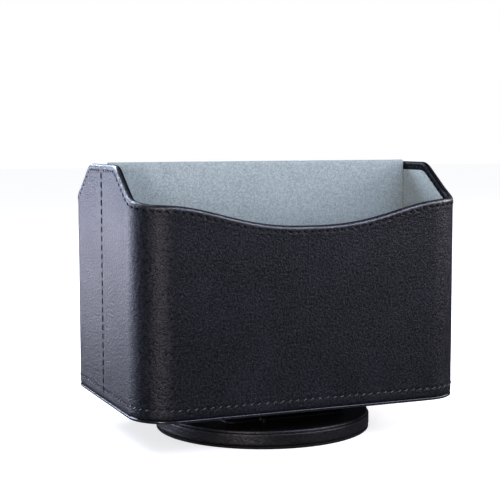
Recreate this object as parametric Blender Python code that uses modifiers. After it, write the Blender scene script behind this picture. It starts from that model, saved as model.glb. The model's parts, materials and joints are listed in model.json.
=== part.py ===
"""Swivelling desk caddy: two back-to-back compartments on a turntable and a round base.

Metres, +Z up, +X to the right, the front towards -Y. The origin is the centre of the base's underside.
The body is leather over fibreboard with a suede lining. Each half of the body, front and rear, is a
U-shaped wall that meets the other half at a seam in the middle of each side.
"""

import math

import bmesh
import bpy
from mathutils import Matrix, Vector

# Body
WIDTH = 0.200
DEPTH = 0.142
CORNER_RADIUS = 0.0235
BODY_BOTTOM = 0.0218
RIM_PEAK = 0.1593
FRONT_DIP = 0.0128
FRONT_DIP_HALF_WIDTH = 0.086
FRONT_DIP_SPREAD = 1.3
GAP = 0.0003

# The rim's slope along each side, as (distance from the middle of the side, slope). It changes evenly
# from one entry to the next, which gives a level peak, a steep fall and a gentler run round the corner.
RIM_SLOPES = ((0.0, 0.0), (0.022, 0.0), (0.030, -0.71), (0.0455, -0.71), (0.056, -0.20), (0.071, -0.04))

# Sheet materials
LEATHER = 0.0008
SUEDE = 0.0008
WALL_BOARD = 0.0017
DIVIDER_BOARD = 0.0018
FLOOR_BOARD = 0.0020
UNDERSIDE = 0.0017
FOLD_DEPTH = 0.0050
DIVIDER_TOP = 0.1604

# Base
BASE_RADIUS = 0.065
BASE_HEIGHT = 0.0106
BASE_TURN = math.radians(22.8)
PAD_RADIUS = 0.0648
PAD_HEIGHT = 0.0015
BAND_BOTTOM = 0.0018
BAND_TOP = 0.0088
BAND_LEDGE = 0.0001
BAND_EDGE = 0.0004
TOP_EDGE_RADIUS = 0.0014

# Turntable
PLATE_SIDE = 0.076
PLATE_CORNER = 0.006
PLATE_STEEL = 0.0012
STEP_OUTER = 0.0345
STEP_INNER = 0.0320
BALL_RADIUS = 0.0024
BALL_CIRCLE = 0.026
BALL_COUNT = 12
CAGE_HALF_WIDTH = 0.0035
CAGE_HEIGHT = 0.0008
RIVET_RADIUS = 0.0045
RIVET_BORE = 0.0032
RIVET_FLANGE = 0.0070
RIVET_STEEL = 0.0008
SCREW_SPACING = 0.062
SCREW_SHANK = 0.0014
SCREW_HEAD = 0.0028
SCREW_HEAD_HEIGHT = 0.0016
SCREW_CROWN = 0.0020
SCREW_EDGE_HEIGHT = 0.0006
UPPER_SCREW_LENGTH = 0.0054
LOWER_SCREW_LENGTH = 0.0074

# Mesh fineness
ROUND_STEPS = 40
SMALL_STEPS = 12
CORNER_STEPS = 8
FRONT_STEPS = 9
SLOPE_STEPS = 4
FOLD_STEPS = 4
WRAP_STEPS = 6
RIVET_STEPS = 24

BLACK_LEATHER = ((0.012, 0.012, 0.014), 0.45, 0.0)
GREY_SUEDE = ((0.30, 0.33, 0.32), 0.95, 0.0)
FIBREBOARD = ((0.20, 0.15, 0.10), 0.85, 0.0)
BLACK_RUBBER = ((0.02, 0.02, 0.02), 0.80, 0.0)
BLACK_STEEL = ((0.012, 0.012, 0.013), 0.45, 0.0)
BALL_STEEL = ((0.60, 0.60, 0.62), 0.15, 1.0)
CAGE_PLASTIC = ((0.05, 0.05, 0.05), 0.50, 0.0)

# Depths of each layer below the body's outer face
BOARD_OUTER = LEATHER + GAP
BOARD_INNER = BOARD_OUTER + WALL_BOARD
LINING_OUTER = BOARD_INNER + GAP
LINING_INNER = LINING_OUTER + SUEDE
FOLD_RADIUS = LINING_INNER / 2

# Heights that follow from the layers
WALL_BOTTOM = BODY_BOTTOM + UNDERSIDE + GAP
FLOOR_TOP = WALL_BOTTOM + FLOOR_BOARD
LINING_BOTTOM = FLOOR_TOP + GAP
DIVIDER_HALF = DIVIDER_BOARD / 2 + GAP + SUEDE
LOWER_PLATE = BASE_HEIGHT + GAP
UPPER_PLATE = BODY_BOTTOM - GAP - PLATE_STEEL
BALL_HEIGHT = (LOWER_PLATE + UPPER_PLATE + PLATE_STEEL) / 2
GROOVE_RADIUS = BALL_RADIUS + GAP + PLATE_STEEL / 2
PLATFORM = BALL_HEIGHT - GROOVE_RADIUS + PLATE_STEEL / 2

PARTS = "swivel_desk_caddy"
CUTTERS = "cutters"


def clear_scene():
    for obj in list(bpy.data.objects):
        bpy.data.objects.remove(obj, do_unlink=True)


def make_collection(name):
    collection = bpy.data.collections.new(name)
    bpy.context.scene.collection.children.link(collection)
    return collection


def make_material(name, look):
    color, roughness, metallic = look
    material = bpy.data.materials.new(name)
    material.use_nodes = True
    shader = material.node_tree.nodes["Principled BSDF"]
    shader.inputs["Base Color"].default_value = (*color, 1.0)
    shader.inputs["Roughness"].default_value = roughness
    shader.inputs["Metallic"].default_value = metallic
    material.diffuse_color = (*color, 1.0)
    return material


def add_object(name, mesh, look, parent=None):
    """Puts a mesh in the scene as a sub-part, with a material of its own."""
    obj = bpy.data.objects.new(name, mesh)
    bpy.data.collections[PARTS].objects.link(obj)
    obj.data.materials.clear()
    obj.data.materials.append(make_material(name, look))
    obj.parent = parent
    return obj


def make_cutter(obj):
    """Turns a sub-part into a cutter, which the render leaves out."""
    bpy.data.collections[PARTS].objects.unlink(obj)
    bpy.data.collections[CUTTERS].objects.link(obj)
    obj.hide_render = True
    obj.display_type = "WIRE"
    return obj


def cut(obj, cutter, operation="DIFFERENCE"):
    modifier = obj.modifiers.new(f"{operation.lower()}_{cutter.name}", "BOOLEAN")
    modifier.operation = operation
    modifier.object = cutter


def solidify(obj, thickness):
    """Thickens an open surface evenly to both of its sides."""
    modifier = obj.modifiers.new("thickness", "SOLIDIFY")
    modifier.thickness = thickness
    modifier.offset = 0.0
    modifier.use_even_offset = True


def shade(obj, degrees=35):
    obj.data.shade_smooth()
    obj.data.set_sharp_from_angle(angle=math.radians(degrees))


# Flat and turned shapes


def arc(center, radius, start, end, steps):
    """Points on a round stretch, both ends included. Angles are in degrees."""
    points = []
    for i in range(steps + 1):
        angle = math.radians(start + (end - start) * i / steps)
        points.append((center[0] + radius * math.cos(angle), center[1] + radius * math.sin(angle)))
    return points


def rounded_rectangle(low, high, radii):
    """An outline, anticlockwise from the lower left. radii gives each corner's, and 0 leaves it square."""
    centers = (
        (low[0] + radii[0], low[1] + radii[0], 180),
        (high[0] - radii[1], low[1] + radii[1], 270),
        (high[0] - radii[2], high[1] - radii[2], 0),
        (low[0] + radii[3], high[1] - radii[3], 90),
    )
    outline = []
    for (x, y, start), radius in zip(centers, radii):
        steps = CORNER_STEPS if radius > 0 else 0
        outline += arc((x, y), radius, start, start + 90, steps) if steps else [(x, y)]
    return outline


def panel(name, outline, bottom, top, look, parent=None):
    """A flat piece: an outline filled and extruded, then made a mesh so that it can be cut."""
    curve = bpy.data.curves.new(name, "CURVE")
    curve.dimensions = "2D"
    curve.fill_mode = "BOTH"
    curve.extrude = (top - bottom) / 2
    spline = curve.splines.new("POLY")
    spline.points.add(len(outline) - 1)
    spline.use_cyclic_u = True
    for point, (x, y) in zip(spline.points, outline):
        point.co = (x, y, 0.0, 1.0)
    guide = bpy.data.objects.new(f"{name}_outline", curve)
    guide.location.z = (bottom + top) / 2
    bpy.context.scene.collection.objects.link(guide)
    bpy.context.view_layer.update()
    graph = bpy.context.evaluated_depsgraph_get()
    mesh = bpy.data.meshes.new_from_object(guide.evaluated_get(graph))
    bm = bmesh.new()
    bm.from_mesh(mesh)
    bmesh.ops.remove_doubles(bm, verts=bm.verts, dist=1e-6)
    bm.to_mesh(mesh)
    bm.free()
    obj = add_object(name, mesh, look, parent)
    obj.matrix_world = guide.matrix_world
    bpy.data.objects.remove(guide, do_unlink=True)
    return obj


def turned(name, profile, look, closed=False, steps=ROUND_STEPS, parent=None):
    """A round piece. Its profile is (radius, height) points that run down the outer side."""
    mesh = bpy.data.meshes.new(name)
    bm = bmesh.new()
    verts = [bm.verts.new((radius, 0.0, height)) for radius, height in profile]
    for first, second in zip(verts, verts[1:]):
        bm.edges.new((first, second))
    if closed:
        bm.edges.new((verts[-1], verts[0]))
    bm.to_mesh(mesh)
    bm.free()
    obj = add_object(name, mesh, look, parent)
    screw = obj.modifiers.new("turn", "SCREW")
    screw.steps = steps
    screw.render_steps = steps
    screw.use_merge_vertices = True
    screw.merge_threshold = 1e-6
    screw.use_smooth_shade = True
    return obj


# The body's wall


def rim_fall(distance):
    """How far the rim has dropped below its peak, at a distance from the middle of the side."""
    height = 0.0
    for (start, slope), (end, next_slope) in zip(RIM_SLOPES, RIM_SLOPES[1:]):
        run = min(distance, end) - start
        if run <= 0.0:
            break
        end_slope = slope + (next_slope - slope) * run / (end - start)
        height += run * (slope + end_slope) / 2
    return -height


def front_dip(x):
    """The extra drop of the scooped front and rear edges: a cosine with its bottom spread wider."""
    if abs(x) >= FRONT_DIP_HALF_WIDTH:
        return 0.0
    share = (abs(x) / FRONT_DIP_HALF_WIDTH) ** FRONT_DIP_SPREAD
    return FRONT_DIP * (1 + math.cos(math.pi * share)) / 2


def rim_height(x, y):
    return RIM_PEAK - rim_fall(abs(y)) - front_dip(x)


def side_distances():
    """Distances from the middle of the side where the wall is sampled, from the seam to the corner."""
    corner = DEPTH / 2 - CORNER_RADIUS
    distances = [GAP / 2]
    for (start, slope), (end, next_slope) in zip(RIM_SLOPES, RIM_SLOPES[1:]):
        steps = 1 if slope == next_slope else SLOPE_STEPS
        distances += [start + (end - start) * i / steps for i in range(1, steps + 1)]
    return [distance for distance in distances if distance < corner]


def wall_stations():
    """Places along the front half's wall, from the left seam to the right: (point, outward normal, rim)."""
    half_width = WIDTH / 2
    corner = Vector((half_width - CORNER_RADIUS, -DEPTH / 2 + CORNER_RADIUS))
    right = []
    for i in range(FRONT_STEPS):
        right.append((Vector((corner.x * i / FRONT_STEPS, -DEPTH / 2)), Vector((0, -1))))
    for i in range(CORNER_STEPS + 1):
        angle = math.radians(-90 + 90 * i / CORNER_STEPS)
        normal = Vector((math.cos(angle), math.sin(angle)))
        right.append((corner + CORNER_RADIUS * normal, normal))
    for distance in reversed(side_distances()):
        right.append((Vector((half_width, -distance)), Vector((1, 0))))
    left = [(Vector((-p.x, p.y)), Vector((-n.x, n.y))) for p, n in reversed(right[1:])]
    return [(point, normal, rim_height(*point)) for point, normal in left + right]


def wall_sheet(name, section, thickness, look, front, parent):
    """A bent sheet that follows the wall. section(rim) gives its (depth, height) points, outer foot first."""
    side = 1 if front else -1
    bm = bmesh.new()
    columns = []
    for point, normal, rim in wall_stations():
        column = []
        for depth, height in section(rim):
            place = point - normal * depth
            column.append(bm.verts.new((place.x, side * place.y, height)))
        columns.append(column)
    for first, second in zip(columns, columns[1:]):
        for i in range(len(first) - 1):
            corners = (first[i], second[i], second[i + 1], first[i + 1])
            bm.faces.new(corners if front else reversed(corners))
    mesh = bpy.data.meshes.new(name)
    bm.to_mesh(mesh)
    bm.free()
    obj = add_object(name, mesh, look, parent)
    solidify(obj, thickness)
    shade(obj)
    return obj


def leather_section(rim):
    """Up the outside, over the rim and down the inside as far as the fold goes."""
    middle = LEATHER / 2
    over = arc((FOLD_RADIUS, rim - FOLD_RADIUS), FOLD_RADIUS - middle, 180, 0, FOLD_STEPS)
    return [(middle, WALL_BOTTOM)] + over + [(LINING_INNER - middle, rim - FOLD_DEPTH)]


def board_section(rim):
    depth = (BOARD_OUTER + BOARD_INNER) / 2
    return [(depth, WALL_BOTTOM), (depth, rim - FOLD_RADIUS)]


def lining_section(rim):
    depth = (LINING_OUTER + LINING_INNER) / 2
    return [(depth, LINING_BOTTOM), (depth, rim - FOLD_DEPTH - GAP)]


def build_walls(parent):
    for place in ("front", "rear"):
        front = place == "front"
        wall_sheet(f"{place}_leather_cover", leather_section, LEATHER, BLACK_LEATHER, front, parent)
        wall_sheet(f"{place}_shell_board", board_section, WALL_BOARD, FIBREBOARD, front, parent)
        wall_sheet(f"{place}_lining", lining_section, SUEDE, GREY_SUEDE, front, parent)


# Floor, underside and divider


def body_outline(depth):
    """The body's outline, this far inside its outer face."""
    x = WIDTH / 2 - depth
    y = DEPTH / 2 - depth
    return rounded_rectangle((-x, -y), (x, y), [CORNER_RADIUS - depth] * 4)


def build_floor(parent, holes):
    underside_top = BODY_BOTTOM + UNDERSIDE
    underside = panel("underside_cover", body_outline(0.0), BODY_BOTTOM, underside_top, BLACK_LEATHER, parent)
    floor = panel("floor_board", body_outline(LINING_OUTER), WALL_BOTTOM, FLOOR_TOP, FIBREBOARD, parent)
    cut(underside, holes)
    cut(floor, holes)
    inset = LINING_INNER + GAP
    near = DIVIDER_HALF + GAP
    far = DEPTH / 2 - inset
    x = WIDTH / 2 - inset
    radius = CORNER_RADIUS - inset
    front = rounded_rectangle((-x, -far), (x, -near), (radius, radius, 0, 0))
    rear = [(-px, -py) for px, py in front]
    top = LINING_BOTTOM + SUEDE
    panel("front_floor_lining", front, LINING_BOTTOM, top, GREY_SUEDE, parent)
    panel("rear_floor_lining", rear, LINING_BOTTOM, top, GREY_SUEDE, parent)


def box_panel(name, low, high, look, parent):
    """A flat upright board between two corners."""
    bm = bmesh.new()
    size = [b - a for a, b in zip(low, high)]
    middle = [(a + b) / 2 for a, b in zip(low, high)]
    bmesh.ops.create_cube(bm, size=1.0, matrix=Matrix.Translation(middle) @ Matrix.Diagonal((*size, 1.0)))
    mesh = bpy.data.meshes.new(name)
    bm.to_mesh(mesh)
    bm.free()
    return add_object(name, mesh, look, parent)


def build_divider(parent):
    x = WIDTH / 2 - LINING_INNER - GAP
    half_board = DIVIDER_BOARD / 2
    shoulder = DIVIDER_TOP - DIVIDER_HALF
    low = (-x, -half_board, LINING_BOTTOM)
    high = (x, half_board, shoulder)
    box_panel("divider_board", low, high, FIBREBOARD, parent)
    for place, side in (("front", -1), ("rear", 1)):
        near, far = sorted((side * (half_board + GAP), side * DIVIDER_HALF))
        low = (-x, near, LINING_BOTTOM)
        high = (x, far, shoulder - 2 * GAP)
        box_panel(f"divider_{place}_lining", low, high, GREY_SUEDE, parent)
    # The wrap is the half-round run of suede over the divider's top edge.
    middle = SUEDE / 2
    section = arc((0.0, shoulder), DIVIDER_HALF - middle, 0, 180, WRAP_STEPS)
    section = [(DIVIDER_HALF - middle, shoulder - GAP)] + section + [(middle - DIVIDER_HALF, shoulder - GAP)]
    bm = bmesh.new()
    ends = [[bm.verts.new((end, y, z)) for y, z in section] for end in (-x, x)]
    for i in range(len(section) - 1):
        bm.faces.new((ends[0][i], ends[1][i], ends[1][i + 1], ends[0][i + 1])[::-1])
    mesh = bpy.data.meshes.new("divider_edge_wrap")
    bm.to_mesh(mesh)
    bm.free()
    wrap = add_object("divider_edge_wrap", mesh, GREY_SUEDE, parent)
    solidify(wrap, SUEDE)
    shade(wrap)


# Base


def build_base(parent, holes):
    board_radius = BASE_RADIUS - LEATHER - GAP
    edge = board_radius - LEATHER - GAP
    board_top = BASE_HEIGHT - LEATHER - GAP
    step = BAND_TOP + BAND_LEDGE
    board_profile = [
        (0.0, board_top),
        (edge, board_top),
        (edge, step),
        (board_radius, step),
        (board_radius, PAD_HEIGHT + GAP),
        (0.0, PAD_HEIGHT + GAP),
    ]
    board = turned("base_board", board_profile, FIBREBOARD, parent=parent)
    # The top cover is a leather disc whose edge is turned down over the board.
    middle = LEATHER / 2
    reach = TOP_EDGE_RADIUS - middle
    center = (board_radius + GAP - TOP_EDGE_RADIUS, BASE_HEIGHT - TOP_EDGE_RADIUS)
    cover_profile = [(0.0, BASE_HEIGHT - middle)] + arc(center, reach, 90, 0, FOLD_STEPS)
    cover = turned("base_top_cover", cover_profile, BLACK_LEATHER, parent=parent)
    solidify(cover, LEATHER)
    cut(board, holes)
    cut(cover, holes)
    inner = BASE_RADIUS - LEATHER
    band_profile = [
        (inner, BAND_TOP),
        (BASE_RADIUS - BAND_EDGE, BAND_TOP),
        (BASE_RADIUS, BAND_TOP - BAND_EDGE),
        (BASE_RADIUS, BAND_BOTTOM + BAND_EDGE),
        (BASE_RADIUS - BAND_EDGE, BAND_BOTTOM),
        (inner, BAND_BOTTOM),
    ]
    turned("base_rim_band", band_profile, BLACK_LEATHER, closed=True, parent=parent)
    pad_profile = [(0.0, PAD_HEIGHT), (PAD_RADIUS, PAD_HEIGHT), (PAD_RADIUS, 0.0), (0.0, 0.0)]
    turned("anti_slip_pad", pad_profile, BLACK_RUBBER, parent=parent)


# Turntable


def screw_places():
    half = SCREW_SPACING / 2
    return [(half, half), (-half, half), (-half, -half), (half, -half)]


def round_cutter(name, places, radius, bottom, top, parent):
    """Upright cylinders joined in one cutter."""
    bm = bmesh.new()
    for x, y in places:
        bmesh.ops.create_cone(
            bm,
            cap_ends=True,
            segments=SMALL_STEPS,
            radius1=radius,
            radius2=radius,
            depth=top - bottom,
            matrix=Matrix.Translation((x, y, (bottom + top) / 2)),
        )
    mesh = bpy.data.meshes.new(name)
    bm.to_mesh(mesh)
    bm.free()
    return make_cutter(add_object(name, mesh, BLACK_STEEL, parent))


def plate_profile():
    """The lower plate's middle surface: a flat flange, a raised platform and a groove for the balls."""
    flange = LOWER_PLATE + PLATE_STEEL / 2
    spread = math.sqrt(GROOVE_RADIUS**2 - (BALL_HEIGHT - PLATFORM) ** 2)
    edge = math.degrees(math.atan2(PLATFORM - BALL_HEIGHT, spread))
    groove = arc((BALL_CIRCLE, BALL_HEIGHT), GROOVE_RADIUS, edge, -180 - edge, FOLD_STEPS)
    outside = PLATE_SIDE * math.sqrt(0.5)
    hole = RIVET_RADIUS + 2 * GAP
    return [(outside, flange), (STEP_OUTER, flange), (STEP_INNER, PLATFORM)] + groove + [(hole, PLATFORM)]


def bearing_plate(name, profile, parent, holes):
    """A square plate, cut from a turned blank with a square tool."""
    plate = turned(name, profile, BLACK_STEEL, parent=parent)
    solidify(plate, PLATE_STEEL)
    half = PLATE_SIDE / 2
    outline = rounded_rectangle((-half, -half), (half, half), [PLATE_CORNER] * 4)
    square = panel(f"{name}_square", outline, BASE_HEIGHT, BODY_BOTTOM, BLACK_STEEL, parent)
    cut(plate, make_cutter(square), "INTERSECT")
    cut(plate, holes)


def screw(name, place, head_face, direction, length, parent):
    """A pan-head screw. direction is where its tip points: 1 is up and -1 is down."""
    x, y = place
    tip = head_face + direction * length
    profile = [
        (0.0, head_face - direction * SCREW_HEAD_HEIGHT),
        (SCREW_CROWN, head_face - direction * SCREW_HEAD_HEIGHT),
        (SCREW_HEAD, head_face - direction * SCREW_EDGE_HEIGHT),
        (SCREW_HEAD, head_face),
        (SCREW_SHANK, head_face),
        (SCREW_SHANK, tip - direction * SCREW_SHANK),
        (0.0, tip),
    ]
    if direction > 0:
        profile.reverse()
    piece = turned(name, profile, BLACK_STEEL, steps=SMALL_STEPS, parent=parent)
    piece.location = (x, y, 0.0)


def build_turntable(base, caddy, lower_holes, upper_holes):
    profile = plate_profile()
    flipped = [(radius, 2 * BALL_HEIGHT - height) for radius, height in profile]
    bearing_plate("bearing_lower_plate", profile, base, lower_holes)
    bearing_plate("bearing_upper_plate", flipped, caddy, upper_holes)
    # A tubular rivet through both plates keeps them together. Its flanges sit behind the platforms.
    inside = BALL_HEIGHT - PLATFORM + PLATE_STEEL / 2 + GAP
    outside = inside + RIVET_STEEL
    rivet_profile = [
        (RIVET_BORE, BALL_HEIGHT + outside),
        (RIVET_FLANGE, BALL_HEIGHT + outside),
        (RIVET_FLANGE, BALL_HEIGHT + inside),
        (RIVET_RADIUS, BALL_HEIGHT + inside),
        (RIVET_RADIUS, BALL_HEIGHT - inside),
        (RIVET_FLANGE, BALL_HEIGHT - inside),
        (RIVET_FLANGE, BALL_HEIGHT - outside),
        (RIVET_BORE, BALL_HEIGHT - outside),
    ]
    turned("bearing_rivet", rivet_profile, BLACK_STEEL, closed=True, steps=RIVET_STEPS, parent=base)
    lower_face = LOWER_PLATE + PLATE_STEEL + GAP
    upper_face = UPPER_PLATE - GAP
    for i, place in enumerate(screw_places(), start=1):
        screw(f"lower_plate_screw_{i}", place, lower_face, -1, LOWER_SCREW_LENGTH, base)
        screw(f"upper_plate_screw_{i}", place, upper_face, 1, UPPER_SCREW_LENGTH, caddy)


def ball_places():
    angles = [2 * math.pi * i / BALL_COUNT for i in range(BALL_COUNT)]
    return [(BALL_CIRCLE * math.cos(angle), BALL_CIRCLE * math.sin(angle)) for angle in angles]


def build_ball_ring(ring):
    for i, (x, y) in enumerate(ball_places(), start=1):
        bm = bmesh.new()
        bmesh.ops.create_uvsphere(bm, u_segments=10, v_segments=6, radius=BALL_RADIUS)
        mesh = bpy.data.meshes.new(f"bearing_ball_{i}")
        bm.to_mesh(mesh)
        bm.free()
        mesh.shade_smooth()
        ball = add_object(f"bearing_ball_{i}", mesh, BALL_STEEL, ring)
        ball.location = (x, y, BALL_HEIGHT)
    top = BALL_HEIGHT + CAGE_HEIGHT / 2
    bottom = BALL_HEIGHT - CAGE_HEIGHT / 2
    outer = BALL_CIRCLE + CAGE_HALF_WIDTH
    inner = BALL_CIRCLE - CAGE_HALF_WIDTH
    cage_profile = [(inner, top), (outer, top), (outer, bottom), (inner, bottom)]
    cage = turned("ball_cage", cage_profile, CAGE_PLASTIC, closed=True, parent=ring)
    pockets = round_cutter("cage_pockets", ball_places(), BALL_RADIUS + GAP, bottom - GAP, top + GAP, ring)
    cut(cage, pockets)


def make_empty(name, turn=0.0):
    """A pivot on the turntable's axis. What turns with it is parented to it."""
    empty = bpy.data.objects.new(name, None)
    bpy.data.collections[PARTS].objects.link(empty)
    empty.rotation_euler.z = turn
    return empty


def main():
    clear_scene()
    make_collection(PARTS)
    make_collection(CUTTERS)
    base = make_empty("base", BASE_TURN)
    caddy = make_empty("caddy")
    ring = make_empty("ball_ring")
    hole_radius = SCREW_SHANK + GAP
    lower_bottom = LOWER_PLATE + PLATE_STEEL - LOWER_SCREW_LENGTH
    lower_top = LOWER_PLATE + PLATE_STEEL + GAP
    lower_holes = round_cutter("lower_holes", screw_places(), hole_radius, lower_bottom, lower_top, base)
    upper_bottom = UPPER_PLATE - GAP
    upper_top = FLOOR_TOP + GAP
    upper_holes = round_cutter("upper_holes", screw_places(), hole_radius, upper_bottom, upper_top, caddy)
    build_base(base, lower_holes)
    build_turntable(base, caddy, lower_holes, upper_holes)
    build_ball_ring(ring)
    build_floor(caddy, upper_holes)
    build_walls(caddy)
    build_divider(caddy)


main()
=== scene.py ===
import json
import math

import bmesh
import bpy
from mathutils import Matrix, Vector, noise


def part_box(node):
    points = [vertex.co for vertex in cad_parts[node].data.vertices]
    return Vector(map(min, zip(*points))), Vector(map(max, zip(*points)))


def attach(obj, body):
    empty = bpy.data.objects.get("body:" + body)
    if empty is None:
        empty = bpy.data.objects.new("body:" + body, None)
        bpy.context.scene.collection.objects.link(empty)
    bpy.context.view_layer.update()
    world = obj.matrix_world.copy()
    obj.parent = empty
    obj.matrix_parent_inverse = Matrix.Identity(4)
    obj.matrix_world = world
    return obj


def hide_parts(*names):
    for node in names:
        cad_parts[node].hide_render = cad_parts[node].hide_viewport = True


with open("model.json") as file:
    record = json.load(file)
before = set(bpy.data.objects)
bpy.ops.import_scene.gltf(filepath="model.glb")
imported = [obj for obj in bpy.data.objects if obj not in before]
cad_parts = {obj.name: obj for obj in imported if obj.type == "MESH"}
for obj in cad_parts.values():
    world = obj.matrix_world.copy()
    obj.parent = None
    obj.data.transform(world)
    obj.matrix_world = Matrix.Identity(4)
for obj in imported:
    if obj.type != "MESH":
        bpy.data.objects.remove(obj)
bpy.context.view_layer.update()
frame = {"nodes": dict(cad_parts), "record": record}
nodes = frame["nodes"]
MM = 0.001

# ---------------------------------------------------------------- dimensions
COVER_LOW, COVER_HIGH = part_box("front_leather_cover")
HALF_WIDTH = COVER_HIGH.x
HALF_DEPTH = -COVER_LOW.y
WALL_BOTTOM = COVER_LOW.z
RIM_PEAK = COVER_HIGH.z
CORNER_RADIUS = 0.0235
FRONT_DIP = 0.0128
FRONT_DIP_HALF_WIDTH = 0.086
FRONT_DIP_SPREAD = 1.3
RIM_SLOPES = ((0.0, 0.0), (0.022, 0.0), (0.030, -0.71), (0.0455, -0.71), (0.056, -0.20), (0.071, -0.04))
SHEET = 0.0008
LINING_OUTER = 0.0031
LINING_INNER = LINING_OUTER + SHEET
FOLD_RADIUS = LINING_INNER / 2
FOLD_DEPTH = 0.0050
LINING_RISE = 0.0023
CLEARANCE = 0.0003
EDGE_EASE = 0.0002
SMALL_CORNER = 0.0006

# How far below the rim the leather is polished, and how matt it is inside the rim.
POLISH_DEPTH = 0.0026
INSIDE_MATT = -0.4

# ---------------------------------------------------------------- sewing
STITCH_DROP = 0.0034
RIM_PITCH = 0.0045
HEM_RISE = 0.0052
HEM_PITCH = 0.0046
SEAM_PITCH = 0.0050
SEWN_END_GAP = 0.002
HEM_TUCK = 0.0003
HEM_TUCK_HEIGHT = 0.0007

# Each kind of stitch: its length, its thread's radius, and how deep it lies under the wall's outer face.
RIM_STITCH = (0.0025, 0.00034, 0.00014)
INNER_STITCH = (0.0032, 0.00030, LINING_INNER - 0.00008)
HEM_STITCH = (0.0025, 0.00032, 0.00010)
SEAM_STITCH = (SEAM_PITCH * 0.72, 0.00034, 0.00010)
RIM_SLANT = -27.0
INNER_SLANT = -9.0
HEM_SLANT = 24.0
SLANT_VARIATION = 5.0
WALL_SINK = 0.00045
SEAM_SINK = 0.0004
STITCH_SIDES = 8
STITCH_RINGS = 9

# ---------------------------------------------------------------- leather relief, heights in millimetres
# Grooves and rolls along each sewn line: height, distance from the line, and width.
RIM_RELIEF = ((-0.08, 0.0, 0.0007), (0.10, -0.0018, 0.0009), (0.07, 0.0019, 0.0010))
HEM_RELIEF = ((-0.08, 0.0, 0.0008), (0.04, 0.0018, 0.0010), (0.02, -0.0020, 0.0011))
SEAM_RELIEF = ((-0.16, 0.0, 0.0004), (-0.06, 0.0, 0.0016))
PUCKER_HEIGHT = 0.28
PUCKER_ALONG = 0.00065
PUCKER_ACROSS = 0.00090
SOFT_WAVES = 0.13
SMALL_WAVES = 0.05
RIM_RIPPLE = 0.05
INSIDE_PUCKER = 0.12

# ---------------------------------------------------------------- mesh spacing
LEATHER_SPACING = 0.0006
LINING_SPACING = 0.0016
FINE_ROW = 0.00050
HEM_ROWS = 17
RIM_ROWS = 10
MIDDLE_ROWS = 36
FOLD_STEPS = 14
LINING_ROWS = 24
SLOPE_STEP = 0.0005


# ================================================================ materials


class Nodes:
    """A short way to build a node tree."""

    def __init__(self, name):
        self.material = bpy.data.materials.new(name)
        self.material.use_nodes = True
        self.tree = self.material.node_tree
        self.shader = self.tree.nodes["Principled BSDF"]

    def add(self, kind, inputs=(), **settings):
        node = self.tree.nodes.new(kind)
        for key, value in settings.items():
            setattr(node, key, value)
        for key, value in dict(inputs).items():
            self.give(node, key, value)
        return node

    def give(self, node, key, value):
        if isinstance(value, bpy.types.NodeSocket):
            self.tree.links.new(value, node.inputs[key])
        else:
            node.inputs[key].default_value = value

    def coords(self, scale=(1.0, 1.0, 1.0)):
        place = self.add("ShaderNodeTexCoord")
        mapping = self.add("ShaderNodeMapping", {"Vector": place.outputs["Object"], "Scale": scale})
        return mapping.outputs["Vector"]

    def noise(self, vector, scale, detail=2.0, roughness=0.5, distortion=0.0):
        shape = {"Scale": scale, "Detail": detail, "Roughness": roughness, "Distortion": distortion}
        node = self.add("ShaderNodeTexNoise", {"Vector": vector, **shape})
        return node.outputs["Fac"]

    def cells(self, vector, scale, feature="DISTANCE_TO_EDGE"):
        node = self.add("ShaderNodeTexVoronoi", {"Vector": vector, "Scale": scale}, feature=feature)
        return node.outputs["Distance"]

    def span(self, value, low, high, to_low=0.0, to_high=1.0):
        node = self.add(
            "ShaderNodeMapRange",
            {"Value": value, "From Min": low, "From Max": high, "To Min": to_low, "To Max": to_high},
        )
        return node.outputs["Result"]

    def math(self, operation, first, second):
        return self.add("ShaderNodeMath", {0: first, 1: second}, operation=operation).outputs["Value"]

    def mix(self, factor, first, second):
        node = self.add("ShaderNodeMix", data_type="RGBA")
        self.give(node, 0, factor)
        self.give(node, 6, (*first, 1.0) if isinstance(first, tuple) else first)
        self.give(node, 7, (*second, 1.0) if isinstance(second, tuple) else second)
        return node.outputs[2]

    def bump(self, height, strength, distance):
        node = self.add("ShaderNodeBump", {"Height": height, "Strength": strength, "Distance": distance})
        return node.outputs["Normal"]

    def set(self, **inputs):
        for key, value in inputs.items():
            self.give(self.shader, key.replace("_", " "), value)
        return self.material


HIDE_STRETCH = (1.0, 0.5, 1.0)
POLISH_SMOOTHING = 0.09
POLISH_GLOSS = 1.30
LEAST_GLOSS = 0.05


def scaled(tone, factor):
    return tuple(factor * c for c in tone)


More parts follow.
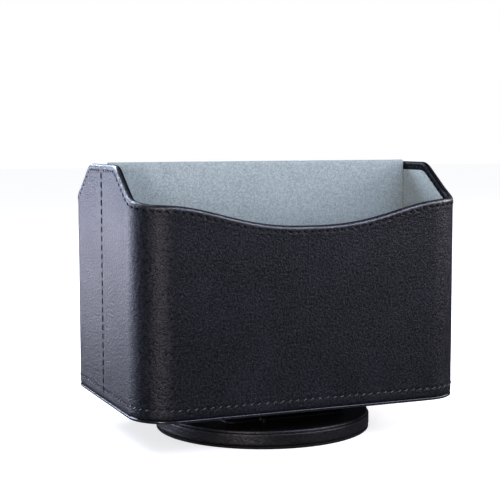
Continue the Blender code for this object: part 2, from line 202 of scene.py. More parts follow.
# The default tone is near-black leather with a blue tint that is partly painted sheen, standing in for the
# bluish lamp light the leather reflects.
def leather(name, tone=(0.0028, 0.0026, 0.0056), rough=(0.34, 0.54), shine=(0.10, 0.60), grain=1.0):
    """Fine pebble grain, matt in its hollows, shinier on top and where the mesh is marked "polish"."""
    m = Nodes(name)
    at = m.coords(HIDE_STRETCH)
    pebbles = m.span(m.cells(at, 1000.0), 0.0, 0.36)
    lumps = m.span(m.noise(at, 760.0, 2.0, 0.55), 0.28, 0.72)
    fine = m.noise(at, 1700.0, 2.0, 0.6)
    broad = m.noise(at, 45.0, 3.0, 0.55)
    height = m.math("ADD", m.math("MULTIPLY", pebbles, 0.30), m.math("MULTIPLY", lumps, 0.90))
    height = m.math("ADD", height, m.math("MULTIPLY", fine, 0.50))
    normal = m.bump(height, 0.60 * grain, 0.00024)
    dark, light = scaled(tone, 0.50), scaled(tone, 1.70)
    color = m.mix(m.math("MULTIPLY", pebbles, lumps), dark, light)
    color = m.mix(m.span(broad, 0.35, 0.75, 0.0, 0.5), color, light)
    tops = m.math("ADD", m.math("MULTIPLY", lumps, 0.45), m.math("MULTIPLY", m.span(fine, 0.3, 0.7), 0.55))
    matt = m.math("ADD", m.math("MULTIPLY", lumps, 0.6), m.math("MULTIPLY", broad, 0.4))
    polish = m.add("ShaderNodeAttribute", attribute_name="polish").outputs["Fac"]
    smoother = m.math("MULTIPLY", polish, POLISH_SMOOTHING)
    roughness = m.math("SUBTRACT", m.span(matt, 0.15, 0.85, *rough), smoother)
    gloss = m.math("ADD", m.span(tops, 0.2, 0.8, *shine), m.math("MULTIPLY", polish, POLISH_GLOSS))
    gloss = m.math("MAXIMUM", gloss, LEAST_GLOSS)
    return m.set(Base_Color=color, Roughness=roughness, Normal=normal, Specular_IOR_Level=gloss)


def suede(name, tone=(0.290, 0.336, 0.336)):
    """Short nap: blotches where it has been brushed, and a fine fibrous speckle."""
    m = Nodes(name)
    at = m.coords()
    brushed = m.noise(m.coords((1.0, 1.0, 0.45)), 60.0, 4.0, 0.6, 0.8)
    blotches = m.noise(at, 380.0, 3.0, 0.65)
    fibres = m.noise(at, 900.0, 3.0, 0.7)
    color = m.mix(m.span(brushed, 0.3, 0.7), scaled(tone, 0.88), scaled(tone, 1.06))
    color = m.mix(m.span(blotches, 0.35, 0.65, 0.0, 0.60), color, scaled(tone, 0.66))
    color = m.mix(m.span(fibres, 0.40, 0.66, 0.0, 0.70), color, scaled(tone, 1.45))
    height = m.math("ADD", m.math("MULTIPLY", fibres, 0.9), m.math("MULTIPLY", blotches, 0.6))
    normal = m.bump(height, 0.8, 0.00040)
    return m.set(
        Base_Color=color,
        Roughness=0.95,
        Normal=normal,
        Specular_IOR_Level=0.20,
        Sheen_Weight=0.20,
        Sheen_Roughness=0.45,
    )


def thread(name, tone, rough, shine):
    """Twisted thread with a little fluff."""
    m = Nodes(name)
    at = m.coords()
    wave = {"Vector": at, "Scale": 900.0, "Distortion": 1.5}
    twist = m.add("ShaderNodeTexWave", wave, bands_direction="DIAGONAL").outputs["Fac"]
    fluff = m.noise(at, 3500.0, 2.0, 0.6)
    height = m.math("ADD", twist, m.math("MULTIPLY", fluff, 0.5))
    normal = m.bump(height, 0.7, 0.00012)
    color = m.mix(twist, scaled(tone, 0.6), tone)
    return m.set(Base_Color=color, Roughness=rough, Normal=normal, Specular_IOR_Level=shine)


def fibreboard(name):
    """Pressed chips and dark specks."""
    m = Nodes(name)
    at = m.coords()
    chips = m.noise(m.coords((1.0, 1.0, 4.0)), 500.0, 5.0, 0.7, 0.5)
    specks = m.cells(at, 700.0, "F1")
    color = m.mix(m.span(chips, 0.3, 0.7), (0.13, 0.092, 0.055), (0.27, 0.20, 0.13))
    color = m.mix(m.span(specks, 0.0, 0.5, 0.3, 0.0), color, (0.06, 0.04, 0.025))
    roughness = m.span(chips, 0.2, 0.8, 0.75, 0.92)
    return m.set(Base_Color=color, Roughness=roughness, Normal=m.bump(chips, 0.5, 0.0003))


def rubber(name):
    """Foam rubber with open pores and a little dust."""
    m = Nodes(name)
    at = m.coords()
    pores = m.cells(at, 900.0, "F1")
    dust = m.noise(at, 120.0, 4.0, 0.6)
    color = m.mix(m.span(dust, 0.4, 0.8), (0.003, 0.003, 0.003), (0.007, 0.007, 0.007))
    height = m.math("ADD", pores, m.math("MULTIPLY", m.noise(at, 1800.0), 0.4))
    normal = m.bump(height, 0.6, 0.0003)
    roughness = m.span(dust, 0.2, 0.8, 0.72, 0.90)
    return m.set(Base_Color=color, Roughness=roughness, Normal=normal, Specular_IOR_Level=0.20)


def bare_steel(name, tone, rough, brushed):
    """Polished bearing steel with faint rolling marks and light stains."""
    m = Nodes(name)
    at = m.coords()
    rolled = m.noise(m.coords((1.0, 30.0, 30.0)), 60.0, 3.0, 0.6)
    stains = m.noise(at, 70.0, 4.0, 0.6)
    color = m.mix(m.span(stains, 0.35, 0.7), tone, scaled(tone, 0.78))
    mixed = m.math("ADD", m.math("MULTIPLY", rolled, 0.5), m.math("MULTIPLY", stains, 0.5))
    roughness = m.span(mixed, 0.3, 0.7, rough, rough + 0.16)
    normal = m.bump(rolled, 0.25 * brushed, 0.0001)
    return m.set(Base_Color=color, Metallic=1.0, Roughness=roughness, Normal=normal)


def coated_steel(name):
    """Black baked coating with an orange-peel surface and a few rubbed places."""
    m = Nodes(name)
    at = m.coords()
    peel = m.noise(at, 420.0, 2.0, 0.5)
    dust = m.noise(at, 130.0, 4.0, 0.65)
    color = m.mix(m.span(dust, 0.4, 0.8), (0.002, 0.002, 0.002), (0.006, 0.006, 0.006))
    normal = m.bump(peel, 0.35, 0.0002)
    roughness = m.span(dust, 0.2, 0.8, 0.40, 0.60)
    return m.set(Base_Color=color, Roughness=roughness, Normal=normal, Specular_IOR_Level=0.16)


def edge_paint(name):
    """Glossy black paint on a cut leather edge, a little uneven where it was brushed on."""
    m = Nodes(name)
    at = m.coords()
    runs = m.noise(at, 260.0, 3.0, 0.6)
    specks = m.noise(at, 1400.0, 2.0, 0.6)
    color = m.mix(m.span(runs, 0.3, 0.7), (0.003, 0.003, 0.004), (0.007, 0.007, 0.008))
    normal = m.bump(m.math("ADD", runs, m.math("MULTIPLY", specks, 0.3)), 0.6, 0.0003)
    roughness = m.span(specks, 0.3, 0.7, 0.14, 0.26)
    return m.set(Base_Color=color, Roughness=roughness, Normal=normal, Specular_IOR_Level=0.8)


def plastic(name):
    """Black nylon with a fine moulded texture and worn patches."""
    m = Nodes(name)
    at = m.coords()
    texture = m.noise(at, 1500.0, 3.0, 0.6)
    wear = m.noise(at, 90.0, 3.0, 0.6)
    color = m.mix(m.span(wear, 0.4, 0.8), (0.028, 0.028, 0.030), (0.060, 0.060, 0.062))
    roughness = m.span(wear, 0.2, 0.8, 0.42, 0.60)
    return m.set(Base_Color=color, Roughness=roughness, Normal=m.bump(texture, 0.3, 0.0001))


LEATHER = leather("black_leather")
BASE_LEATHER = leather("black_base_leather", (0.0042, 0.0034, 0.0038), (0.32, 0.46), (0.30, 0.60), 0.7)
EDGE_PAINT = edge_paint("glossy_edge_paint")
SUEDE = suede("grey_suede")
THREAD = thread("black_thread", (0.0022, 0.0021, 0.0026), 0.60, 0.10)
# The hem thread is the same black thread as the rest; its lighter tone is painted highlight, so the hem
# stitches show as light dots.
HEM_THREAD = thread("hem_thread_painted_highlight", (0.042, 0.040, 0.045), 0.26, 0.90)
FIBREBOARD = fibreboard("fibreboard")
RUBBER = rubber("pad_rubber")
COATED = coated_steel("black_steel")
BALLS = bare_steel("ball_steel", (0.62, 0.62, 0.64), 0.08, 0.3)
CAGE = plastic("cage_plastic")
SLOT_LOOKS = {
    "black_leather": LEATHER,
    "grey_suede": SUEDE,
    "fibreboard": FIBREBOARD,
    "pad_rubber": RUBBER,
    "black_steel": COATED,
    "ball_steel": BALLS,
    "cage_plastic": CAGE,
}
for row in frame["record"]["subparts"]:
    mesh = nodes[row["node"]].data
    mesh.materials.clear()
    mesh.materials.append(SLOT_LOOKS[row["material_slot"]])


# ================================================================ mesh helpers


def finish_mesh(bm, name, material, body, replaced, angle=40):
    bmesh.ops.remove_doubles(bm, verts=bm.verts, dist=1e-7)
    bmesh.ops.recalc_face_normals(bm, faces=bm.faces)
    mesh = bpy.data.meshes.new(name)
    bm.to_mesh(mesh)
    bm.free()
    mesh.shade_smooth()
    mesh.set_sharp_from_angle(angle=math.radians(angle))
    mesh.materials.append(material)
    obj = bpy.data.objects.new(name, mesh)
    bpy.context.scene.collection.objects.link(obj)
    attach(obj, body)
    if replaced:
        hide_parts(*replaced)
    return obj


def skin(name, loops, material, body, replaced=(), closed=False, angle=40):
    """A solid from closed section loops joined in order: end to end if closed, with capped ends if not."""
    bm = bmesh.new()
    rings = [[bm.verts.new(point) for point in loop] for loop in loops]
    pairs = list(zip(rings, rings[1:]))
    if closed:
        pairs.append((rings[-1], rings[0]))
    else:
        bm.faces.new(rings[0])
        bm.faces.new(rings[-1][::-1])
    for first, second in pairs:
        count = len(first)
        for i in range(count):
            j = (i + 1) % count
            bm.faces.new((first[i], second[i], second[j], first[j]))
    return finish_mesh(bm, name, material, body, replaced, angle)


def turned(name, profile, material, body, replaced=(), segments=256, relief=None):
    """A ring or disc from a closed (radius, height) profile."""
    loops = []
    for i in range(segments):
        angle = 2 * math.pi * i / segments
        c, s = math.cos(angle), math.sin(angle)
        loops.append([])
        for radius, height in profile:
            out = relief(angle, radius, height) if relief and radius > 0 else 0.0
            loops[-1].append(((radius + out) * c, (radius + out) * s, height))
    return skin(name, loops, material, body, replaced, closed=True)


def arc(center, radius, start, end, steps):
    """Points on an arc, with its ends in degrees."""
    points = []
    for i in range(steps + 1):
        angle = math.radians(start + (end - start) * i / steps)
        points.append((center[0] + radius * math.cos(angle), center[1] + radius * math.sin(angle)))
    return points


def bell(value, width):
    return math.exp(-((value / width) ** 2))


# ================================================================ the wall's line


def rim_fall(distance):
    """How far the rim drops from its peak at this distance from the middle of the side."""
    height = 0.0
    for (start, slope), (end, next_slope) in zip(RIM_SLOPES, RIM_SLOPES[1:]):
        run = min(distance, end) - start
        if run <= 0.0:
            break
        end_slope = slope + (next_slope - slope) * run / (end - start)
        height += run * (slope + end_slope) / 2
    return -height


def rim_height(x, y):
    """The rim's height over a place on the wall, with the front's shallow dip."""
    dip = 0.0
    if abs(x) < FRONT_DIP_HALF_WIDTH:
        share = (abs(x) / FRONT_DIP_HALF_WIDTH) ** FRONT_DIP_SPREAD
        dip = FRONT_DIP * (1 + math.cos(math.pi * share)) / 2
    return RIM_PEAK - rim_fall(abs(y)) - dip


SIDE_RUN = HALF_DEPTH - CORNER_RADIUS
CORNER_RUN = CORNER_RADIUS * math.pi / 2
FRONT_RUN = 2 * (HALF_WIDTH - CORNER_RADIUS)
WALL_RUN = 2 * SIDE_RUN + 2 * CORNER_RUN + FRONT_RUN


def wall_place(s):
    """The front half's outer face at a run s from the left seam: (x, y), outward normal."""
    mirror = s > WALL_RUN / 2
    t = WALL_RUN - s if mirror else s
    if t < SIDE_RUN:
        point, normal = (-HALF_WIDTH, -t), (-1.0, 0.0)
    elif t < SIDE_RUN + CORNER_RUN:
        angle = (t - SIDE_RUN) / CORNER_RADIUS
        normal = (-math.cos(angle), -math.sin(angle))
        center = (-HALF_WIDTH + CORNER_RADIUS, -HALF_DEPTH + CORNER_RADIUS)
        point = (center[0] + CORNER_RADIUS * normal[0], center[1] + CORNER_RADIUS * normal[1])
    else:
        point = (-HALF_WIDTH + CORNER_RADIUS + t - SIDE_RUN - CORNER_RUN, -HALF_DEPTH)
        normal = (0.0, -1.0)
    if mirror:
        return (-point[0], point[1]), (-normal[0], normal[1])
    return point, normal


def wall_rim(s):
    return rim_height(*wall_place(s)[0])


def on_wall(s, depth, height, half):
    """A point this deep below the outer face. The rear half is the front one turned half a turn."""
    (x, y), (nx, ny) = wall_place(s)
    return Vector((half * (x - nx * depth), half * (y - ny * depth), height))


def offset_line(drop, step=0.00025):
    """The line that runs this far below the rim, square to it: (s, height, run) samples."""
    line = []
    count = int(WALL_RUN / step)
    for i in range(count + 1):
        s = WALL_RUN * i / count
        slope = (wall_rim(min(s + step, WALL_RUN)) - wall_rim(max(s - step, 0.0))) / (2 * step)
        length = math.hypot(1.0, slope)
        line.append((s + drop * slope / length, wall_rim(s) - drop / length))
    run = 0.0
    out = [(*line[0], 0.0)]
    for (s0, z0), (s1, z1) in zip(line, line[1:]):
        run += math.hypot(s1 - s0, z1 - z0)
        out.append((s1, z1, run))
    return out


def sewn_places(line, pitch, margin):
    """Stitches of even pitch along a line: each is (s, height, angle) at its middle."""
    total = line[-1][2]
    count = int((total - 2 * margin) / pitch)
    start = (total - count * pitch) / 2
    places, i = [], 0
    for k in range(count):
        wanted = start + (k + 0.5) * pitch
        while line[i + 1][2] < wanted:
            i += 1
        (s0, z0, r0), (s1, z1, r1) = line[i], line[i + 1]
        share = (wanted - r0) / (r1 - r0)
        places.append((s0 + (s1 - s0) * share, z0 + (z1 - z0) * share, math.atan2(z1 - z0, s1 - s0)))
    return places


RIM_LINE = offset_line(STITCH_DROP)
HEM_SAMPLES = 600
HEM_RUNS = [WALL_RUN * i / HEM_SAMPLES for i in range(HEM_SAMPLES + 1)]
HEM_LINE = [(run, WALL_BOTTOM + HEM_RISE, run) for run in HEM_RUNS]
RIM_STITCHES = sewn_places(RIM_LINE, RIM_PITCH, SEWN_END_GAP)
HEM_STITCHES = sewn_places(HEM_LINE, HEM_PITCH, SEWN_END_GAP)


def between(stitches, pitch):
    """Places halfway between neighbouring stitches, where the leather stands up a little."""
    return [(s + pitch / 2 * math.cos(a), z + pitch / 2 * math.sin(a), a) for s, z, a in stitches[:-1]]


LUMP_CELL = 0.004
LUMPS = {}
for lump in between(RIM_STITCHES, RIM_PITCH):
    LUMPS.setdefault((int(lump[0] / LUMP_CELL), int(lump[1] / LUMP_CELL)), []).append(lump)


def lump_height(s, z):
    """How far the leather stands up between two stitches, longer across the sewn line than along it."""
    ci, cj = int(s / LUMP_CELL), int(z / LUMP_CELL)
    height = 0.0
    for i in (ci - 1, ci, ci + 1):
        for j in (cj - 1, cj, cj + 1):
            for ls, lz, angle in LUMPS.get((i, j), ()):
                along = (s - ls) * math.cos(angle) + (z - lz) * math.sin(angle)
                across = (z - lz) * math.cos(angle) - (s - ls) * math.sin(angle)
                squared = (along / PUCKER_ALONG) ** 2 + (across / PUCKER_ACROSS) ** 2
                if squared < 9:
                    height += math.exp(-squared)
    return height


def line_relief(relief, distance):
    return sum(height * bell(distance - offset, width) for height, offset, width in relief)


def wall_relief(s, z, rim, slope, half):
    """How far the leather stands off its flat face: puckers at the sewing, rolls beside it, soft waves."""
    below = (rim - z) / math.hypot(1.0, slope)
    above = z - WALL_BOTTOM
    seam = min(s, WALL_RUN - s)
    out = PUCKER_HEIGHT * lump_height(s, z)
    out += line_relief(RIM_RELIEF, below - STITCH_DROP)
    out += line_relief(HEM_RELIEF, above - HEM_RISE)
    out += line_relief(SEAM_RELIEF, seam)
    at = on_wall(s, 0.0, z, half)
    out += SOFT_WAVES * noise.noise(at * 24.0) + SMALL_WAVES * noise.noise(at * 75.0 + Vector((3, 1, 7)))
    return out * MM


def wall_stations(step):
    """Runs along the wall, closer together at both seams."""
    count = int(round(WALL_RUN / step))
    edge = (0.00002, 0.00025, 0.0005, 0.0008)
    inner = [edge[-1] + (WALL_RUN - 2 * edge[-1]) * i / count for i in range(count + 1)]
    return list(edge[:-1]) + inner + [WALL_RUN - e for e in reversed(edge[:-1])]


def leather_loop(s, half):
    """The cover's section: up the outer face, over the rim, down the inside, back along its flesh side."""
    rim = wall_rim(s)
    slope_run = wall_rim(min(s + SLOPE_STEP, WALL_RUN)) - wall_rim(max(s - SLOPE_STEP, 0.0))
    slope = slope_run / (2 * SLOPE_STEP)
    shoulder = rim - FOLD_RADIUS
    bottom_rows = [WALL_BOTTOM + 0.00008] + [WALL_BOTTOM + FINE_ROW * i for i in range(1, HEM_ROWS + 1)]
    top_rows = [shoulder - FINE_ROW * i for i in range(RIM_ROWS + 1)][::-1]
    low, high = bottom_rows[-1], top_rows[0]
    middle_rows = [low + (high - low) * i / MIDDLE_ROWS for i in range(1, MIDDLE_ROWS)]

    loop = [on_wall(s, HEM_TUCK + EDGE_EASE, WALL_BOTTOM, half)]
    for z in bottom_rows + middle_rows + top_rows:
        tuck = HEM_TUCK * bell(z - WALL_BOTTOM, HEM_TUCK_HEIGHT)
        loop.append(on_wall(s, tuck - wall_relief(s, z, rim, slope, half), z, half))

    for i in range(1, FOLD_STEPS + 1):
        angle = math.pi * i / FOLD_STEPS
        c, rise = math.cos(angle), math.sin(angle)
        radius = FOLD_RADIUS
        if i < FOLD_STEPS / 2:
            radius += c**2 * wall_relief(s, shoulder + FOLD_RADIUS * rise, rim, slope, half)
        radius += noise.noise(Vector((s * 160.0, 5.0 * half, 0.0))) * RIM_RIPPLE * MM * rise
        loop.append(on_wall(s, FOLD_RADIUS - radius * c, shoulder + radius * rise, half))

    end = rim - FOLD_DEPTH
    for i in range(1, 6):
        z = shoulder + (end + 0.0003 - shoulder) * i / 5
        pucker = INSIDE_PUCKER * MM * bell((rim - z) / math.hypot(1.0, slope) - STITCH_DROP, 0.0006)
        loop.append(on_wall(s, LINING_INNER - pucker, z, half))
    loop.append(on_wall(s, LINING_INNER - EDGE_EASE, end + 0.00003, half))
    loop.append(on_wall(s, LINING_OUTER + EDGE_EASE, end, half))
    loop.append(on_wall(s, LINING_OUTER, end + 0.0003, half))

    flesh_radius = FOLD_RADIUS - SHEET
    for i in range(7):
        angle = math.pi * i / 6
        depth = FOLD_RADIUS + flesh_radius * math.cos(angle)
        loop.append(on_wall(s, depth, shoulder + flesh_radius * math.sin(angle), half))
    for i in range(1, 7):
        z = shoulder + (WALL_BOTTOM - shoulder) * i / 6
        loop.append(on_wall(s, SHEET + (i == 6) * 0.0001, z, half))
    return loop


def polish_rim(cover):
    """Marks the leather for its material: polished where it is stretched over the rim, matt inside it."""
    layer = cover.data.attributes.new("polish", "FLOAT", "POINT")
    for vertex, mark in zip(cover.data.vertices, layer.data):
        x, y, z = vertex.co
        outward = Vector(((x / HALF_WIDTH) ** 3, (y / HALF_DEPTH) ** 3)).normalized()
        facing = vertex.normal.xy.dot(outward)
        near_rim = max(0.0, 1 - ((rim_height(x, y) - z) / POLISH_DEPTH) ** 2)
        mark.value = near_rim if facing > 0.0 else max(facing * 3, INSIDE_MATT)


def build_leather():
    for place, half in (("front", 1), ("rear", -1)):
        loops = [leather_loop(s, half) for s in wall_stations(LEATHER_SPACING)]
        replaced = [f"{place}_leather_cover"]
        cover = skin(f"{place}_leather", loops, LEATHER, "caddy", replaced, angle=60)
        polish_rim(cover)


def lining_loop(s, half):
    """The wall's suede: a softly waved inner face, and a flat face towards the board."""
    top = wall_rim(s) - FOLD_DEPTH - 0.00005
    bottom = WALL_BOTTOM + LINING_RISE
    loop = [on_wall(s, LINING_INNER - EDGE_EASE, bottom, half)]
    for i in range(LINING_ROWS + 1):
        z = bottom + EDGE_EASE + (top - bottom - 0.0005) * i / LINING_ROWS
        at = on_wall(s, 0.0, z, half)
        wave = 0.10 * noise.noise(at * 38.0) + 0.05 * noise.noise(at * 120.0)
        loop.append(on_wall(s, LINING_INNER + wave * MM * (i < LINING_ROWS), z, half))
    loop.append(on_wall(s, LINING_INNER - EDGE_EASE, top, half))
    loop.append(on_wall(s, LINING_OUTER, top - 0.0001, half))
    loop.append(on_wall(s, LINING_OUTER, bottom, half))
    return loop


def build_linings():
    for place, half in (("front", 1), ("rear", -1)):
        loops = [lining_loop(s, half) for s in wall_stations(LINING_SPACING)]
        skin(f"{place}_wall_suede", loops, SUEDE, "caddy", [f"{place}_lining"])


# ================================================================ stitches


def stitch(bm, center, along, out, length, radius, sink):
    """A tight thread that bows up between two needle holes."""
    across = out.cross(along).normalized()
    rings = []
    for i in range(STITCH_RINGS):
        t = -1 + 2 * i / (STITCH_RINGS - 1)
        lift = radius * 0.55 - sink * abs(t) ** 5
        girth = radius * (1 - 0.30 * abs(t) ** 4)
        middle = center + along * (t * length / 2) + out * lift
        ring = []
        for k in range(STITCH_SIDES):
            angle = 2 * math.pi * k / STITCH_SIDES
            spoke = across * (girth * math.cos(angle)) + out * (girth * math.sin(angle))
            ring.append(bm.verts.new(middle + spoke))
        rings.append(ring)
    bm.faces.new(rings[0][::-1])
    bm.faces.new(rings[-1])
    for first, second in zip(rings, rings[1:]):
        for k in range(STITCH_SIDES):
            j = (k + 1) % STITCH_SIDES
            bm.faces.new((first[k], first[j], second[j], second[k]))


def wall_stitches(name, places, half, look, sewn, slant, inside=False):
    """One row of slanted stitches. sewn is the stitch's length, radius and depth."""
    length, radius, depth = sewn
    bm = bmesh.new()
    for number, (s, z, angle) in enumerate(places):
        uneven = noise.noise(Vector((number * 1.7, half * 4.1, length * 900)))
        turn = math.radians(slant + SLANT_VARIATION * uneven)
        angle += -turn if inside else turn
        nx, ny = wall_place(s)[1]
        out = Vector((half * nx, half * ny, 0.0))
        run = Vector((-ny * half, nx * half, 0.0))
        along = run * math.cos(angle) + Vector((0, 0, math.sin(angle)))
        if inside:
            out = -out
        stitch(bm, on_wall(s, depth, z, half), along.normalized(), out, length, radius, WALL_SINK)
    finish_mesh(bm, name, look, "caddy", (), 60)


def seam_stitches(name, side):
    """The upright row that joins the two covers, in the middle of one side."""
    length, radius, depth = SEAM_STITCH
    bm = bmesh.new()
    top = RIM_PEAK - STITCH_DROP - 0.0006
    bottom = WALL_BOTTOM + 0.0030
    count = int((top - bottom) / SEAM_PITCH)
    for i in range(count):
        z = top - (i + 0.5) * (top - bottom) / count
        center = Vector((side * (HALF_WIDTH - depth), 0.0, z))
        tilt = Vector((0, 0.03 + 0.03 * noise.noise(Vector((i * 2.3, side, 0))), 1)).normalized()
        stitch(bm, center, tilt, Vector((side, 0, 0)), length, radius, SEAM_SINK)
    finish_mesh(bm, name, THREAD, "caddy", (), 60)


def build_stitches():
    for place, half in (("front", 1), ("rear", -1)):
        wall_stitches(f"{place}_rim_stitches", RIM_STITCHES, half, THREAD, RIM_STITCH, RIM_SLANT)
        wall_stitches(f"{place}_hem_stitches", HEM_STITCHES, half, HEM_THREAD, HEM_STITCH, HEM_SLANT)
        inner = f"{place}_inner_rim_stitches"
        wall_stitches(inner, RIM_STITCHES, half, THREAD, INNER_STITCH, INNER_SLANT, inside=True)
    for place, side in (("left", -1), ("right", 1)):
        seam_stitches(f"{place}_seam_stitches", side)


# ================================================================ divider, floor, underside


def build_divider():
    """One piece of suede: up the front face, over the rounded top edge and down the rear face."""
    low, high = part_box("divider_front_lining")
    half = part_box("divider_rear_lining")[1].y
    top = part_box("divider_edge_wrap")[1].z
    shoulder = top - half
    rows, columns = 60, 150
    loops = []
    for i in range(columns + 1):
        x = low.x + (high.x - low.x) * i / columns
        face = []
        for k in range(rows + 1):
            z = low.z + (shoulder - low.z) * k / rows
            at = Vector((x, half, z))
            wave = 0.08 * noise.noise(at * 30.0) + 0.04 * noise.noise(at * 95.0)
            face.append((half + wave * MM * min(1.0, (rows - k) / 3), z))
        over = []
        for y, z in arc((0.0, shoulder), half, 180, 0, 14)[1:-1]:
            ripple = 1 + 0.03 * noise.noise(Vector((x * 90.0, y * 400.0, 2.0)))
            over.append((x, y * ripple, shoulder + (z - shoulder) * ripple))
        inner = half - SHEET
        under = [(x, y, z) for y, z in arc((0.0, shoulder), inner, 0, 180, 8)]
        loop = [(x, -y, z) for y, z in face] + over + [(x, y, z) for y, z in face[::-1]]
        loops.append(loop + [(x, inner, low.z)] + under + [(x, -inner, low.z)])
    replaced = ["divider_front_lining", "divider_rear_lining", "divider_edge_wrap"]
    skin("divider_suede", loops, SUEDE, "caddy", replaced, angle=55)


def outline_points(low, high, radii, spacing):
    """A rounded outline, anticlockwise from its low corner, with its outward normals."""
    centers = (
        (low[0] + radii[0], low[1] + radii[0], 180, radii[0]),
        (high[0] - radii[1], low[1] + radii[1], 270, radii[1]),
        (high[0] - radii[2], high[1] - radii[2], 0, radii[2]),
        (low[0] + radii[3], high[1] - radii[3], 90, radii[3]),
    )
    out = []
    for x, y, start, radius in centers:
        steps = max(2, int(radius * math.pi / 2 / spacing))
        for i in range(steps + 1):
            angle = math.radians(start + 90 * i / steps)
            c, s = math.cos(angle), math.sin(angle)
            out.append(((x + radius * c, y + radius * s), (c, s)))
    return out


def plate(name, points, bottom, top, edge, look, replaced, edge_look=None):
    """A flat sheet with softly rounded edges, which may have a look of their own."""
    bm = bmesh.new()
    edge_index = 1 if edge_look else 0
    section = arc((-edge, bottom + edge), edge, -90, 0, 5) + arc((-edge, top - edge), edge, 0, 90, 5)
    rings = []
    for out, z in section:
        rings.append([bm.verts.new((p[0] + n[0] * out, p[1] + n[1] * out, z)) for p, n in points])
    count = len(points)
    for first, second in zip(rings, rings[1:]):
        for i in range(count):
            j = (i + 1) % count
            face = bm.faces.new((first[i], first[j], second[j], second[i]))
            face.material_index = edge_index
    bm.faces.new(rings[0][::-1])
    bm.faces.new(rings[-1])
    sheet = finish_mesh(bm, name, look, "caddy", replaced)
    if edge_look:
        sheet.data.materials.append(edge_look)


def build_flats():
    low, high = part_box("underside_cover")
    points = outline_points(low, high, [CORNER_RADIUS] * 4, 0.001)
    replaced = ["underside_cover"]
    plate("underside_panel", points, low.z, high.z, 0.0006, LEATHER, replaced, EDGE_PAINT)
    for place in ("front", "rear"):
        node = f"{place}_floor_lining"
        low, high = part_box(node)
        inner = CORNER_RADIUS - LINING_INNER - CLEARANCE
        radii = [inner, inner, SMALL_CORNER, SMALL_CORNER]
        if place == "rear":
            radii.reverse()
        points = outline_points(low, high, radii, 0.001)
        plate(f"{place}_floor_suede", points, low.z, high.z, 0.0003, SUEDE, [node])


# ================================================================ base


BASE_SEGMENTS = 320
BAND_EDGE = 0.0009
BAND_WAVES = 0.05
LAP_HEIGHT = 0.35
LAP_ANGLE = 2.2
LAP_WIDTH = 0.0035
TOP_BEND = 0.0014
TOP_HOLE = 0.012
PAD_BEVEL = 0.0003


def build_base_band():
    """Leather glued round the edge, with a raised lap where its ends meet."""
    low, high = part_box("base_rim_band")
    radius, bottom, top = high.x, low.z, high.z

    def waves(angle, r, z):
        at = Vector((math.cos(angle) * r, math.sin(angle) * r, z))
        lap = LAP_HEIGHT * bell(math.remainder(angle - LAP_ANGLE, 2 * math.pi) * radius - 0.002, LAP_WIDTH)
        return (BAND_WAVES * noise.noise(at * 60.0) + lap * (r > radius - 0.0005)) * MM

    straight = top - bottom - 2 * BAND_EDGE
    inner = radius - SHEET
    profile = [(inner, bottom)] + arc((radius - BAND_EDGE, bottom + BAND_EDGE), BAND_EDGE, -80, 0, 7)
    profile += [(radius, bottom + BAND_EDGE + straight * i / 6) for i in range(1, 6)]
    profile += arc((radius - BAND_EDGE, top - BAND_EDGE), BAND_EDGE, 0, 82, 7)
    profile += [(inner - 0.0003, top - 0.0001), (inner - 0.0003, (top + bottom) / 2)]
    replaced = ["base_rim_band"]
    turned("base_band", profile, BASE_LEATHER, "base", replaced, BASE_SEGMENTS, waves)


def build_base_top():
    """The leather disc on top, its edge bent down to meet the band."""
    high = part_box("base_top_cover")[1]
    outer, top = high.x, high.z
    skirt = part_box("base_rim_band")[1].z - 0.0007
    bend_start = outer - TOP_BEND
    profile = [(TOP_HOLE, top - SHEET), (TOP_HOLE, top)]
    profile += [(TOP_HOLE + (bend_start - TOP_HOLE) * i / 16, top) for i in range(1, 16)]
    profile += arc((bend_start, top - TOP_BEND), TOP_BEND, 90, 0, 8) + [(outer, skirt)]
    profile += [(outer - 0.0003, skirt), (outer - 0.0003, top - TOP_BEND), (bend_start, top - SHEET)]
    turned("base_top", profile, BASE_LEATHER, "base", ["base_top_cover"], BASE_SEGMENTS)


def build_pad():
    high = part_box("anti_slip_pad")[1]
    radius, top = high.x, high.z
    profile = [(0.0, top), (radius - PAD_BEVEL, top), (radius, top - PAD_BEVEL)]
    profile += [(radius, PAD_BEVEL), (radius - PAD_BEVEL, 0.0), (0.0, 0.0)]
    turned("foam_pad", profile, RUBBER, "base", ["anti_slip_pad"], 200)


build_leather()
build_linings()
build_stitches()
build_divider()
build_flats()
build_base_band()
build_base_top()
build_pad()

STEEL_EDGE = 0.00015
for name in ("bearing_lower_plate", "bearing_upper_plate", "bearing_rivet"):
    bevel = nodes[name].modifiers.new("soft_edges", "BEVEL")
    bevel.width = STEEL_EDGE
    bevel.segments = 2
    bevel.limit_method = "ANGLE"
    bevel.angle_limit = math.radians(40)


# ================================================================ stage, lights, camera

FLOOR_HALF = 6.0
FLOOR_GLOW = 0.66
AMBIENT = (0.42, 0.43, 0.45)
DIM_ROOM = (0.055, 0.06, 0.08)
BACKDROP = (1.0, 1.0, 1.0)


def stage_floor():
    bm = bmesh.new()
    bmesh.ops.create_grid(bm, x_segments=2, y_segments=2, size=FLOOR_HALF)
    mesh = bpy.data.meshes.new("floor")
    bm.to_mesh(mesh)
    bm.free()
    floor = bpy.data.objects.new("floor", mesh)
    bpy.context.scene.collection.objects.link(floor)
    m = Nodes("pale_floor")
    tint = m.noise(m.coords(), 3.0, 2.0)
    mesh.materials.append(
        m.set(
            Base_Color=m.mix(tint, (0.80, 0.80, 0.805), (0.82, 0.82, 0.82)),
            Roughness=0.7,
            Emission_Color=(1.0, 1.0, 1.0, 1.0),
            Emission_Strength=FLOOR_GLOW,
        )
    )
    floor.visible_glossy = False


BODY_MIDDLE = (0.0, 0.0, 0.09)
BASE_MIDDLE = (0.0, 0.0, 0.02)


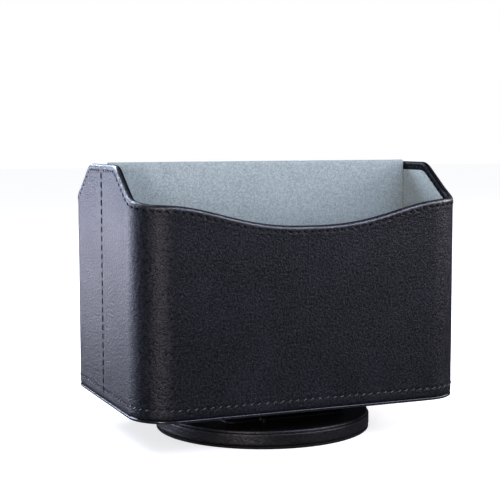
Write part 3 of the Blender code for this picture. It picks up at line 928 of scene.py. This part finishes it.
def area_light(name, place, target, size, watts, color):
    data = bpy.data.lights.new(name, "AREA")
    data.shape = "RECTANGLE"
    data.size, data.size_y = size
    data.energy = watts
    data.color = color
    light = bpy.data.objects.new(name, data)
    light.location = place
    light.rotation_euler = (Vector(target) - Vector(place)).to_track_quat("-Z", "Y").to_euler()
    light.visible_camera = False
    bpy.context.scene.collection.objects.link(light)


def light_stage():
    """Windows behind the left side, and softboxes in front, above and at the right."""
    body, base = BODY_MIDDLE, BASE_MIDDLE
    area_light("window_left", (-1.00, 0.97, 0.17), body, (1.20, 0.30), 6.4, (0.70, 0.85, 1.26))
    area_light("window_high", (-0.52, 1.02, 0.90), body, (0.60, 0.50), 24.0, (0.80, 0.93, 1.16))
    area_light("window_sill", (-0.55, 0.68, 0.05), base, (0.50, 0.08), 1.7, (0.96, 0.91, 1.06))
    area_light("softbox_front_left", (-1.00, -1.20, 0.26), body, (0.26, 0.40), 9.0, (1.0, 0.92, 0.98))
    area_light("softbox_top", (0.42, -1.00, 0.88), body, (0.80, 0.50), 7.5, (0.84, 0.95, 1.28))
    area_light("softbox_right", (1.14, -0.42, 0.52), body, (1.70, 0.50), 14.5, (1.0, 0.96, 1.04))


def build_world():
    """Even ambient light, a dim room for reflections, and white behind the object."""
    world = bpy.data.worlds.new("studio")
    bpy.context.scene.world = world
    world.use_nodes = True
    tree = world.node_tree
    path = tree.nodes.new("ShaderNodeLightPath")
    shader = tree.nodes["Background"].outputs["Background"]
    tree.nodes["Background"].inputs["Color"].default_value = (*AMBIENT, 1.0)
    for ray, color in (("Is Glossy Ray", DIM_ROOM), ("Is Camera Ray", BACKDROP)):
        background = tree.nodes.new("ShaderNodeBackground")
        background.inputs["Color"].default_value = (*color, 1.0)
        mix = tree.nodes.new("ShaderNodeMixShader")
        tree.links.new(path.outputs[ray], mix.inputs["Fac"])
        tree.links.new(shader, mix.inputs[1])
        tree.links.new(background.outputs["Background"], mix.inputs[2])
        shader = mix.outputs["Shader"]
    tree.links.new(shader, tree.nodes["World Output"].inputs["Surface"])


SENSOR_WIDTH = 36.0
LENS = 90.4104
CAMERA_YAW = math.radians(22.771)
CAMERA_PITCH = math.radians(5.187)
CAMERA_ROLL = -0.0017
CAMERA_AIM = Vector((-0.00789, 0.0, 0.10689))
CAMERA_DISTANCE = 0.7562


def place_camera():
    level = math.cos(CAMERA_PITCH)
    look = Vector((math.sin(CAMERA_YAW) * level, math.cos(CAMERA_YAW) * level, -math.sin(CAMERA_PITCH)))
    level_right = Vector((math.cos(CAMERA_YAW), -math.sin(CAMERA_YAW), 0.0))
    level_up = level_right.cross(look)
    right = level_right * math.cos(CAMERA_ROLL) + level_up * math.sin(CAMERA_ROLL)
    up = level_up * math.cos(CAMERA_ROLL) - level_right * math.sin(CAMERA_ROLL)
    data = bpy.data.cameras.new("camera")
    data.sensor_width = SENSOR_WIDTH
    data.lens = LENS
    data.clip_start, data.clip_end = 0.01, 50.0
    camera = bpy.data.objects.new("camera", data)
    turn = Matrix((right, up, -look)).transposed().to_4x4()
    camera.matrix_world = Matrix.Translation(CAMERA_AIM - look * CAMERA_DISTANCE) @ turn
    bpy.context.scene.collection.objects.link(camera)
    bpy.context.scene.camera = camera


stage_floor()
light_stage()
build_world()
place_camera()
bpy.context.scene.view_settings.view_transform = "Standard"
